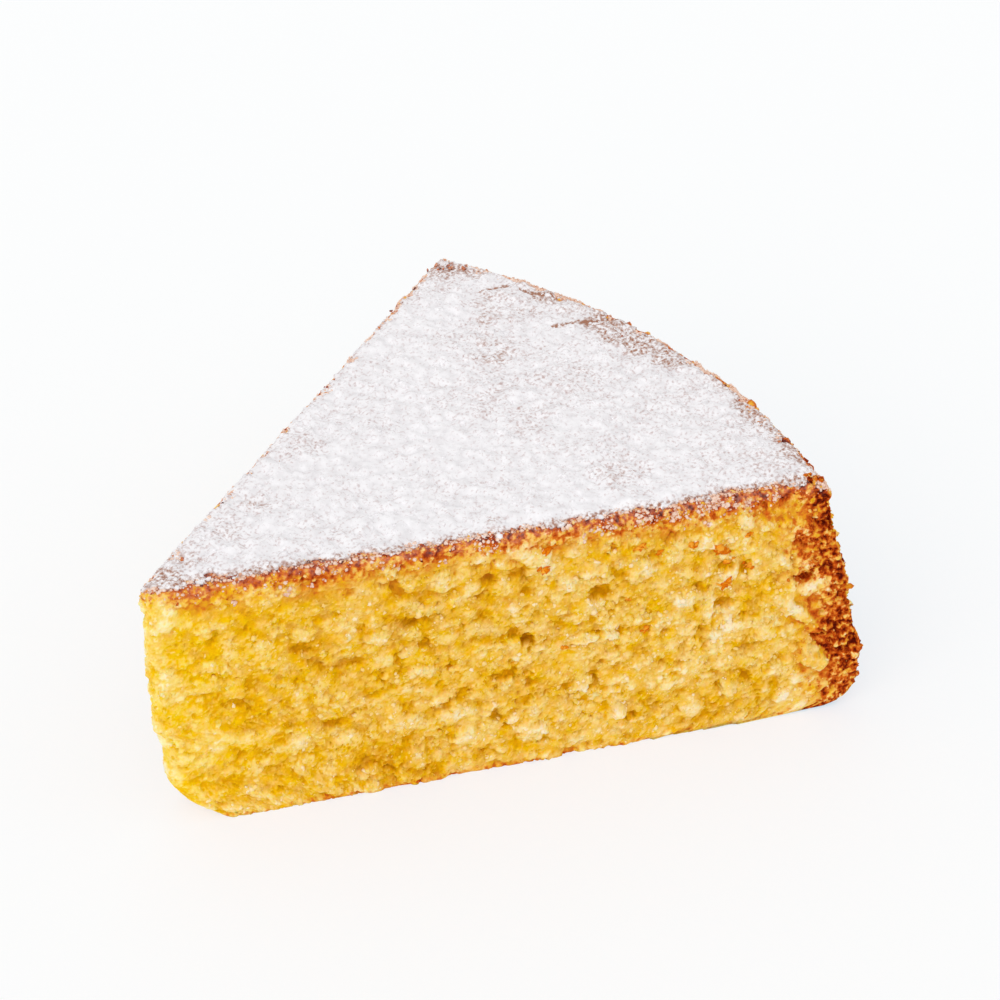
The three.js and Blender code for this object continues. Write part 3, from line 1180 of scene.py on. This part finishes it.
    def make(self) -> list[bpy.types.Object]:
        """Builds the loose bits and dresses them.

        Returns:
            The finished pieces.
        """
        dry = SpongeFinish(name="baked_almond_crumbs", glow=0.0).material()
        orange = ZestFinish().material()
        return [dress(build(), finish)
                for build, finish in ((self.grains, dry), (self.crust, dry), (self.zest, orange))]


@dataclass(frozen=True)
class Pattern:
    """A noise pattern of a finish: its name, its size and its detail."""

    name: str
    size: float
    detail: float


@dataclass(frozen=True)
class Blend:
    """A number that a finish works out: where it starts, and how much of each field it adds."""

    start: float
    shares: tuple[tuple[str, float], ...]

    def socket(self, tree: bpy.types.NodeTree, fields: Fields) -> bpy.types.NodeSocket:
        """Adds the nodes that work the number out.

        Args:
            tree: Node tree that the nodes go in.
            fields: Sockets of the fields by name.

        Returns:
            The socket that gives the number.
        """
        total = self.start
        for name, share in self.shares:
            total = add_node(tree, "ShaderNodeMath", {0: fields[name], 1: share, 2: total},
                             operation="MULTIPLY_ADD").outputs[0]
        return total


def finish_fields(tree: bpy.types.NodeTree, layers: Sequence[str], patterns: Sequence[Pattern]) -> Fields:
    """Adds the nodes that read the layers of a mesh and make the patterns of a finish.

    Args:
        tree: Node tree that the nodes go in.
        layers: Names of the layers.
        patterns: The patterns.

    Returns:
        Socket of each layer and pattern by name.
    """
    fields = {}
    for name in layers:
        fields[name] = add_node(tree, "ShaderNodeAttribute", {}, attribute_name=name).outputs["Fac"]
    place = add_node(tree, "ShaderNodeTexCoord", {}).outputs["Object"]
    for pattern in patterns:
        inputs = {"Vector": place, "Scale": 1.0 / (pattern.size * METRES), "Detail": pattern.detail}
        fields[pattern.name] = add_node(tree, "ShaderNodeTexNoise", inputs).outputs[0]
    return fields


@dataclass(frozen=True)
class SpongeFinish:
    """Baked almond sponge: moist, open crumb that glows a little, and a crust browned in grains.

    The crumb is painted lighter on its lumps and darker in its pits, as light and shade would fall, richer
    where it is moist, and more lemon and painted brighter towards the tip. The crust goes from amber to dark
    brown from speck to speck with the same painted shade in its pits, and a thin film of sugar lies on it
    under the coat.
    """

    name: str = "baked_almond_sponge"
    glow: float = 0.6
    crumb: Stops = (
        (0.0, "#B87600"), (0.3, "#DB9C0C"), (0.52, "#EFBC40"), (0.75, "#FAD57E"), (1.0, "#FFE9C2"))
    crust: Stops = (
        (0.0, "#F6BA58"), (0.3, "#E48A28"), (0.55, "#CC5C14"), (0.75, "#9A3002"), (1.0, "#560A00"))
    powder: str = "#F0D4C4"
    patterns: tuple[Pattern, ...] = (
        Pattern("grit", 0.42, 3.0), Pattern("mottle", 4.0, 3.0), Pattern("speck", 0.95, 4.0),
        Pattern("moist", 2.0, 3.0))
    # The tone layer brings the painted shade, highlight and tip light into the crumb's colour
    light: Blend = Blend(0.031, (("tone", 0.8), ("tint", 0.32), ("grit", 0.32), ("mottle", 0.35)))
    hue: Blend = Blend(0.484, (("speck", 0.03), ("lemon", 0.006)))
    # Painted light: the crumb is made brighter towards the tip, as if lit through
    painted_tip_brightness: Blend = Blend(1.0, (("lemon", 0.06),))
    moisture: Blend = Blend(-0.5, (("moist", 1.0),))
    richness: Blend = Blend(1.01, (("moist_light", 0.85), ("lemon", 0.035)))
    unevenness: Blend = Blend(-0.76, (("speck", 2.9),))
    # Painted shade and highlight on the crust: browner where the tone is dark, paler where it is light
    brown: Blend = Blend(0.0, (("browned", 1.0), ("tone", -0.55)))
    crust_shows: Span = (0.12, 0.42)
    crust_held: Span = (0.0, 0.2)
    film_grit: Span = (0.3, 0.66)
    bump_strength: float = 0.5
    bump_depth: float = 0.3
    roughness: float = 0.7
    shine: float = 0.04
    scatter_colour: Point = (1.0, 0.6, 0.2)
    scatter_depth: float = 0.6

    def material(self) -> bpy.types.Material:
        """Makes the material.

        Returns:
            A material that reads the layers of the mesh.
        """
        made, tree, shader = new_material(self.name)
        fields = finish_fields(tree, SPONGE_LAYERS, self.patterns)
        fields["light"] = self.light.socket(tree, fields)
        fields["moisture"] = self.moisture.socket(tree, fields)
        fields["unevenness"] = self.unevenness.socket(tree, fields)
        products = (("moist_light", "moisture", "light"), ("browned", "unevenness", "browning"))
        for name, first, second in products:
            fields[name] = add_node(tree, "ShaderNodeMath", {0: fields[first], 1: fields[second]},
                                    operation="MULTIPLY").outputs[0]
        fields["brown"] = self.brown.socket(tree, fields)
        crumb = add_node(tree, "ShaderNodeValToRGB", {"Fac": fields["light"]}, self.crumb).outputs[0]
        crust = add_node(tree, "ShaderNodeValToRGB", {"Fac": fields["brown"]}, self.crust).outputs[0]
        colour = add_node(tree, "ShaderNodeHueSaturation", {
            "Color": crumb, "Hue": self.hue.socket(tree, fields),
            "Saturation": self.richness.socket(tree, fields),
            "Value": self.painted_tip_brightness.socket(tree, fields)}).outputs[0]
        shows, held, film = [
            add_node(tree, "ShaderNodeMapRange",
                     {"Value": fields[name], "From Min": low, "From Max": high}).outputs[0]
            for name, (low, high) in (("brown", self.crust_shows), ("browning", self.crust_held),
                                      ("grit", self.film_grit))]
        powder = linear_colour(self.powder)
        for first, second, over in ((shows, held, crust), (film, fields["dusted"], powder)):
            share = add_node(tree, "ShaderNodeMath", {0: first, 1: second}, operation="MULTIPLY").outputs[0]
            colour = add_node(tree, "ShaderNodeMix", {"Factor": share, 6: colour, 7: over},
                              data_type="RGBA").outputs[2]
        bump = add_node(tree, "ShaderNodeBump", {
            "Height": fields["grit"], "Strength": self.bump_strength, "Distance": self.bump_depth * METRES})
        set_inputs(tree, shader, {
            "Base Color": colour, "Normal": bump.outputs[0], "Roughness": self.roughness,
            "Specular IOR Level": self.shine, "Subsurface Weight": self.glow,
            "Subsurface Radius": self.scatter_colour, "Subsurface Scale": self.scatter_depth * METRES})
        return made


@dataclass(frozen=True)
class ZestFinish:
    """Grated orange peel: a bright, oily orange with paler pith."""

    name: str = "orange_zest"
    peel: Stops = ((0.0, "#D86A00"), (0.5, "#EA8604"), (1.0, "#F8B038"))
    roughness: float = 0.45
    shine: float = 0.06

    def material(self) -> bpy.types.Material:
        """Makes the material.

        Returns:
            A material whose tint differs from fleck to fleck.
        """
        made, tree, shader = new_material(self.name)
        tint = add_node(tree, "ShaderNodeAttribute", {}, attribute_name="tint").outputs["Fac"]
        peel = add_node(tree, "ShaderNodeValToRGB", {"Fac": tint}, self.peel).outputs[0]
        set_inputs(tree, shader, {
            "Base Color": peel, "Roughness": self.roughness, "Specular IOR Level": self.shine})
        return made


@dataclass(frozen=True)
class ThinPatch:
    """A place where the sugar lies thin: where it is, how far it reaches and how bare it gets."""

    x: float
    y: float
    reach: float
    bareness: float


@dataclass(frozen=True)
class Wrinkle:
    """A thin crease in the top where the sugar did not lie: its two ends, and how it waves."""

    start_x: float
    start_y: float
    end_x: float
    end_y: float
    wave: float = 0.6
    waves: Waves = Waves(2.5, NoiseLayer.WRINKLES, 1)

    def distance(self, x: float, y: float) -> float:
        """How far a place on the top lies from the crease.

        Args:
            x: Place along the slice.
            y: Place across it.

        Returns:
            Distance to the waving line.
        """
        run = Vector((self.end_x - self.start_x, self.end_y - self.start_y))
        here = Vector((x - self.start_x, y - self.start_y))
        share = min(1.0, max(0.0, here.dot(run) / run.length_squared))
        aside = (here - share * run).length
        return abs(aside - self.wave * abs(self.waves.at(x, y)))


@dataclass
class IcingSugar:
    """The coat of icing sugar on the top: a thin lumpy sheet, frayed along its edges."""

    sponge: AlmondSponge
    seed: int = 31

    # Edge of the coat
    cell: float = 0.38
    near_margin: float = 1.0
    tip_margin: float = 0.5
    near_tip: Fade = Fade(1.0, 5.0, 45.0)
    far_margin: float = -0.1
    rim_margin: float = 0.0
    overhang: float = 0.1
    fray: Waves = Waves(3.2, NoiseLayer.SUGAR_FRAY, 4, 0.8)
    fray_depth: float = 1.5
    edge_smoothing: float = 0.5

    # Surface of the coat
    sink: float = 0.25
    depth: float = 0.7
    edge_slope: Fade = Fade(1.0, -0.3, 1.6)
    bare_loss: float = 0.5
    lumps: Waves = Waves(2.4, NoiseLayer.SUGAR_LUMPS, 3, 0.7)
    lump_depth: float = 0.64
    edge_lumps: float = 0.5
    drift: Waves = Waves(9.0, NoiseLayer.SUGAR_DRIFT, 1)
    drift_depth: float = 0.3

    # Where the coat is worn thin
    wear: Waves = Waves(8.0, NoiseLayer.SUGAR_WEAR, 3, 0.8)
    wear_depth: float = 0.14
    plain_wear: float = 0.14
    back_wear: float = 0.1
    back_reach: Span = (10.0, 40.0)
    rim_wear: Fade = Fade(0.3, 0.0, 4.0)
    rim_evenness: float = 0.6
    near_wear: Fade = Fade(0.8, 0.8, 2.8)
    far_wear: Fade = Fade(0.12, 0.8, 2.8)
    tip_wear: Fade = Fade(0.35, 1.0, 5.0)
    barest: float = 0.5
    wrinkle_wear: Fade = Fade(0.5, 0.1, 0.45)
    wrinkles: tuple[Wrinkle, ...] = (
        Wrinkle(36.4, 32.1, 41.0, 30.8), Wrinkle(42.2, 28.3, 44.6, 23.6), Wrinkle(38.2, 15.7, 48.2, 10.9))
    patch_edge: Fade = Fade(1.0, 0.2, 1.0)
    patch_evenness: float = 0.8
    patches: tuple[ThinPatch, ...] = (
        ThinPatch(45.1, 11.5, 4.0, 0.5), ThinPatch(44.9, 6.5, 4.5, 0.7), ThinPatch(45.3, 1.9, 4.0, 0.6),
        ThinPatch(46.3, -4.5, 4.5, 0.6), ThinPatch(37.5, 42.0, 4.5, 0.8), ThinPatch(40.5, 36.5, 4.0, 0.5),
        ThinPatch(44.2, 24.0, 4.5, 0.5), ThinPatch(45.0, -23.5, 4.0, 0.5), ThinPatch(40.8, -38.0, 3.5, 0.35),
        ThinPatch(12.0, 2.5, 10.0, 0.14), ThinPatch(24.0, 19.0, 9.0, 0.08), ThinPatch(26.0, 10.0, 10.0, 0.08),
        ThinPatch(-17.0, 13.0, 9.0, 0.12), ThinPatch(-50.0, 1.5, 7.0, 0.2), ThinPatch(17.0, -6.0, 9.0, 0.1),
        ThinPatch(17.0, -23.0, 8.0, 0.1), ThinPatch(-6.4, -21.0, 2.5, 0.4), ThinPatch(36.0, 27.0, 10.0, 0.2),
        ThinPatch(-34.0, 2.0, 14.0, 0.1), ThinPatch(-56.0, -0.5, 8.0, 0.3))

    # Clumps on the coat
    clump: BitKind = BitKind((0.9, 0.8, 0.6), (1.4, 1.1, 0.9), (0.14, 0.6), 3.0, sink=0.3)
    clump_count: int = 1700
    clump_margin: float = 0.35
    clump_half_width: float = 50.0

    # Grains that fell on the crust, and lumps that fell on the near cut
    speck: BitKind = BitKind((0.9, 0.8, 0.6), (1.4, 1.1, 0.9), (0.06, 0.36), 2.5)
    dust_count: int = 6900
    dust_fall: float = 3.4
    dust_patches: Waves = Waves(2.5, NoiseLayer.DUST_PATCHES, stretch=1.6)
    dust_gate: Span = (-0.2, 0.5)
    dust_ends: Span = (0.05, 1.5)
    dust_bareness: float = 0.5
    rim_dust: float = 2.4
    edge_dust_count: int = 3000
    edge_dust_width: float = 1.8
    edge_dust_lift: float = 0.1
    fallen: tuple[Spot, ...] = (
        Spot(67.8, 44.2, 0.42), Spot(80.0, 43.9, 0.32), Spot(98.1, 44.1, 0.28), Spot(88.9, 41.0, 0.3),
        Spot(93.9, 41.3, 0.32), Spot(47.9, 42.4, 0.26), Spot(28.9, 44.4, 0.34), Spot(27.7, 41.7, 0.26),
        Spot(23.9, 41.6, 0.3), Spot(16.0, 41.2, 0.3))
    fallen_bits: int = 5
    fallen_spread: float = 0.35

    @property
    def form(self) -> WedgeForm:
        """Form of the slice that the sugar lies on."""
        return self.sponge.form

    def fray_at(self, x: float, y: float) -> float:
        """How far inside the frayed edge of the coat a place on the top lies.

        Args:
            x: Place along the slice.
            y: Place across it.

        Returns:
            Distance in from the nearest edge of the coat, below 0 outside it.
        """
        from_cut, from_rim = self.form.margins(x, y)
        cut_margin = self.far_margin
        if y < 0.0:
            cut_margin = self.near_margin + self.tip_margin * self.near_tip.amount(x - self.form.apex_x)
        inside = min(from_cut - cut_margin, from_rim - self.rim_margin) + self.fray_depth * self.fray.at(x, y)
        return min(inside, from_cut - self.overhang, from_rim - self.overhang)

    def bareness_at(self, x: float, y: float) -> float:
        """How thin the sugar lies at a place.

        Args:
            x: Place along the slice.
            y: Place across it.

        Returns:
            0 where it is thick to 1 where the crust shows through.
        """
        from_cut, from_rim = self.form.margins(x, y)
        drift = self.wear.at(x, y)
        worn = self.plain_wear + self.wear_depth * drift + self.back_wear * smooth_step(*self.back_reach, x)
        worn += self.rim_wear.amount(from_rim) * (self.rim_evenness + drift)
        if y < 0.0:
            worn += self.near_wear.amount(from_cut)
            worn += self.near_tip.amount(x - self.form.apex_x) * self.tip_wear.amount(from_cut)
        else:
            worn += self.far_wear.amount(from_cut)
        for patch in self.patches:
            distance = math.hypot(x - patch.x, y - patch.y) / patch.reach
            worn += patch.bareness * self.patch_edge.amount(distance) * (self.patch_evenness + drift)
        creased = sum(self.wrinkle_wear.amount(wrinkle.distance(x, y)) for wrinkle in self.wrinkles)
        return float(np.clip(worn, 0.0, self.barest) + creased)

    def surface_at(self, x: float, y: float, inside: float, bareness: float) -> float:
        """Height of the lumpy coat.

        Args:
            x: Place along the slice.
            y: Place across it.
            inside: Distance in from the edge of the coat.
            bareness: How thin the sugar lies there.

        Returns:
            Height above the base.
        """
        rise = (1.0 - self.edge_slope.amount(inside)) * (1.0 - self.bare_loss * bareness)
        depth = self.depth + self.drift_depth * self.drift.at(x, y)
        lumps = self.lump_depth * self.lumps.at(x, y)
        return float(self.form.top_at(x, y) + depth * rise + lumps * mix(self.edge_lumps, 1.0, rise))

    def coat(self) -> bpy.types.Object:
        """Models the coat as a closed sheet.

        Returns:
            The finished object.
        """
        mesh = bmesh.new()
        cover = mesh.verts.layers.float.new("cover")
        bare = mesh.verts.layers.float.new("bareness")
        low = Vector((self.form.apex_x, -self.form.top_radius * math.sin(self.form.half_angle)))
        high = Vector((self.form.apex_x + self.form.top_radius, -low.y))
        across = math.ceil((high.x - low.x) / self.cell)
        up = math.ceil((high.y - low.y) / self.cell)
        # A grid one unit wide and tall, so that each place gives its shares along and across the slice
        bmesh.ops.create_grid(mesh, x_segments=across, y_segments=up, size=0.5)
        spare = []
        for vertex in mesh.verts:
            vertex.co.x = mix(low.x, high.x, vertex.co.x + 0.5)
            vertex.co.y = mix(low.y, high.y, vertex.co.y + 0.5)
            vertex[cover] = self.fray_at(vertex.co.x, vertex.co.y)
            if vertex[cover] < 0.0:
                spare.append(vertex)
        bmesh.ops.delete(mesh, geom=spare, context="VERTS")
        loose = [vertex for vertex in mesh.verts if not vertex.link_faces]
        bmesh.ops.delete(mesh, geom=loose, context="VERTS")
        edge = [vertex for vertex in mesh.verts if vertex.is_boundary]
        bmesh.ops.smooth_vert(mesh, verts=edge, factor=self.edge_smoothing, use_axis_x=True, use_axis_y=True)
        for vertex in mesh.verts:
            vertex.co.z = self.form.top_at(vertex.co.x, vertex.co.y) - self.sink
            vertex[bare] = self.bareness_at(vertex.co.x, vertex.co.y)
        made = bmesh.ops.extrude_face_region(mesh, geom=mesh.faces[:])["geom"]
        for vertex in [item for item in made if isinstance(item, bmesh.types.BMVert)]:
            vertex.co.z = self.surface_at(vertex.co.x, vertex.co.y, vertex[cover], vertex[bare])
        bmesh.ops.recalc_face_normals(mesh, faces=mesh.faces)
        return finish_mesh(mesh, "icing_sugar_coat")

    def clumps(self) -> bpy.types.Object:
        """Makes the small clumps of sugar on the coat.

        Returns:
            The finished piece.
        """
        draw = np.random.default_rng(self.seed)
        spots = []
        while len(spots) < self.clump_count:
            x = draw.uniform(self.form.apex_x, self.form.apex_x + self.form.top_radius)
            y = draw.uniform(-self.clump_half_width, self.clump_half_width)
            inside = self.fray_at(x, y)
            if inside >= 0.0 and min(self.form.margins(x, y)) >= self.clump_margin:
                spots.append((x, y, self.surface_at(x, y, inside, self.bareness_at(x, y))))
        outs = upward(len(spots))
        size = self.clump.draw_sizes(len(spots), draw)
        places = np.array(spots) - self.clump.sink * size[:, None] * outs
        sizes = self.clump.stretched(size, draw)
        layers = {"bareness": np.zeros(len(spots))}
        return Bits(self.clump, places, outs, sizes, layers).join("icing_sugar_clumps", draw)

    def fallen_places(self, draw: np.random.Generator) -> tuple[np.ndarray, np.ndarray]:
        """Finds places for the bits of the lumps that fell on the near cut.

        Args:
            draw: Source of random numbers.

        Returns:
            The places, and the direction out of the cut at each.
        """
        side = self.sponge.side
        cells = np.array([self.sponge.near_cell(spot.along, spot.z) for spot in self.fallen])
        columns, rows = cells.repeat(self.fallen_bits, axis=0).T
        outs = side.outs[columns, rows]
        shift = draw.normal(0.0, self.fallen_spread, outs.shape)
        shift -= outs * np.sum(outs * shift, axis=1, keepdims=True)
        return side.points[columns, rows] + shift, outs

    def dust(self) -> bpy.types.Object:
        """Makes the grains of sugar that fell on the crust round the top, and the lumps on the near cut.

        Returns:
            The finished piece.
        """
        draw = np.random.default_rng(self.seed + 1)
        side = self.sponge.side
        near_top = np.clip(1.0 - (self.form.height - side.up) / self.dust_fall, 0.0, 1.0) ** 2
        chance = near_top * smooth_step(*self.dust_gate, self.dust_patches.grid(side.along, side.up))
        chance = chance * mix(*self.dust_ends, self.sponge.from_apex() / self.form.rim_radius)
        chance = chance * np.where(side.on(Wall.RIM), self.rim_dust, 1.0)
        columns, rows = self.sponge.pick(chance, self.dust_count, draw)
        edge = self.sponge.top_strip(self.edge_dust_count, self.edge_dust_width, draw)
        edge[:, 2] += self.edge_dust_lift
        fallen, fallen_outs = self.fallen_places(draw)
        places = np.concatenate((self.sponge.spread(columns, rows, draw), edge, fallen))
        outs = np.concatenate((side.outs[columns, rows], upward(len(edge)), fallen_outs))
        size = self.speck.draw_sizes(len(places), draw)
        size[-len(fallen):] = np.repeat([spot.size for spot in self.fallen], self.fallen_bits)
        sizes = self.speck.stretched(size, draw)
        layers = {"bareness": draw.uniform(0.0, self.dust_bareness, len(places))}
        return Bits(self.speck, places, outs, sizes, layers).join("icing_sugar_dust", draw)

    def make(self) -> list[bpy.types.Object]:
        """Builds the coat, the clumps and the dust, and dresses them.

        Returns:
            The finished pieces.
        """
        powder = SugarFinish().material()
        coat = dress(self.coat(), powder)
        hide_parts("icing_sugar")
        clumps = dress(self.clumps(), powder)
        dust = dress(self.dust(), SugarFinish.on_crust().material())
        return [coat, clumps, dust]


@dataclass(frozen=True)
class SugarFinish:
    """Icing sugar: a matt white powder, thin enough in patches for the crust to show through in specks."""

    name: str = "icing_sugar_powder"
    powder: Stops = ((0.25, "#E9E6E8"), (0.6, "#F8F6F8"))
    showing: Stops = ((0.1, "#D4C5C5"), (0.28, "#C6B0AE"), (0.4, "#BA9A90"), (0.5, "#A6745C"))
    patterns: tuple[Pattern, ...] = (
        Pattern("speck", 0.55, 2.0), Pattern("mottle", 2.0, 2.0), Pattern("grit", 0.5, 2.0))
    shown: Blend = Blend(0.0, (("speck", 1.0), ("bareness", 0.45)))
    shows: Span = (0.6, 0.88)
    bump_strength: float = 0.06
    bump_depth: float = 0.2
    roughness: float = 0.95

    @classmethod
    def on_crust(cls) -> "SugarFinish":
        """The same powder in single grains, warmed by the browned crust under it."""
        return cls(name="icing_sugar_dust", powder=((0.3, "#EFCAB4"), (0.7, "#F8E0D0")),
                   showing=((0.0, "#E2B296"), (0.5, "#CE8A64")))

    def material(self) -> bpy.types.Material:
        """Makes the material.

        Returns:
            A material that reads how bare each place of the coat is.
        """
        made, tree, shader = new_material(self.name)
        fields = finish_fields(tree, ("bareness",), self.patterns)
        low, high = self.shows
        share = add_node(tree, "ShaderNodeMapRange", {
            "Value": self.shown.socket(tree, fields), "From Min": low, "From Max": high}).outputs[0]
        powder, under = [
            add_node(tree, "ShaderNodeValToRGB", {"Fac": fields[name]}, stops).outputs[0]
            for name, stops in (("mottle", self.powder), ("bareness", self.showing))]
        colour = add_node(tree, "ShaderNodeMix", {"Factor": share, 6: powder, 7: under}, data_type="RGBA")
        bump = add_node(tree, "ShaderNodeBump", {
            "Height": fields["grit"], "Strength": self.bump_strength, "Distance": self.bump_depth * METRES})
        set_inputs(tree, shader, {
            "Base Color": colour.outputs[2], "Normal": bump.outputs[0], "Roughness": self.roughness})
        return made


@dataclass
class Studio:
    """Plain pale floor, soft light and a camera at the photograph's viewing angle."""

    azimuth: float = math.radians(-41.208)
    elevation: float = math.radians(34.836)
    distance: float = 500.0
    aim: Point = (20.03, 8.42, 22.0)
    focal_pixels: float = 2984.8
    sensor: float = 36.0
    floor_size: float = 4000.0
    floor_colour: str = "#CBA68E"
    floor_glow: str = "#A4CADA"
    sky_colour: str = "#FFFFFF"
    sky_strength: float = 0.85
    sun_strength: float = 0.7
    sun_angle: float = math.radians(60.0)
    sun_from: Point = (-0.9, -0.5, 0.9)

    def build(self) -> None:
        """Makes the floor, the lights and the camera."""
        self.make_floor()
        self.make_lights()
        self.make_camera()
        bpy.context.scene.view_settings.view_transform = "Standard"

    def make_floor(self) -> None:
        """Makes the floor.

        Its glow and its colour add up to white, and take the cake's warm light out of its shadow.
        """
        mesh = bmesh.new()
        bmesh.ops.create_grid(mesh, x_segments=1, y_segments=1, size=self.floor_size / 2.0)
        floor = finish_mesh(mesh, "floor")
        made, tree, shader = new_material("pale_floor")
        set_inputs(tree, shader, {
            "Base Color": linear_colour(self.floor_colour), "Roughness": 1.0,
            "Emission Color": linear_colour(self.floor_glow), "Emission Strength": 1.0})
        floor.data.materials.append(made)

    def make_lights(self) -> None:
        """Makes an even white sky and one broad soft lamp."""
        world = bpy.data.worlds.new("white_tent")
        world.use_nodes = True
        set_inputs(world.node_tree, world.node_tree.nodes["Background"], {
            "Color": linear_colour(self.sky_colour), "Strength": self.sky_strength})
        bpy.context.scene.world = world
        lamp = bpy.data.lights.new("soft_key", "SUN")
        lamp.energy = self.sun_strength
        lamp.angle = self.sun_angle
        key = link_object("soft_key", lamp)
        key.rotation_euler = (-Vector(self.sun_from)).to_track_quat("-Z", "Y").to_euler()

    def make_camera(self) -> None:
        """Makes the camera and hands it to the scene."""
        lens = bpy.data.cameras.new("camera")
        lens.sensor_width = self.sensor
        lens.lens = self.sensor * self.focal_pixels / IMAGE_PIXELS
        camera = link_object("camera", lens)
        level = math.cos(self.elevation)
        back = Vector((math.sin(self.azimuth) * level, -math.cos(self.azimuth) * level,
                       math.sin(self.elevation)))
        camera.location = (Vector(self.aim) + back * self.distance) * METRES
        camera.rotation_euler = (-back).to_track_quat("-Z", "Y").to_euler()
        bpy.context.scene.camera = camera


def main() -> None:
    """Builds the slice in order and reports each piece."""
    logging.basicConfig(level=logging.INFO, format="%(name)s %(message)s")
    Studio().build()
    sponge = AlmondSponge(WedgeForm())
    for assembly in (sponge, LooseCrumb(sponge), IcingSugar(sponge)):
        for piece in assembly.make():
            LOG.info("%s: %d faces", piece.name, len(piece.data.polygons))


if __name__ == "__main__":
    main()
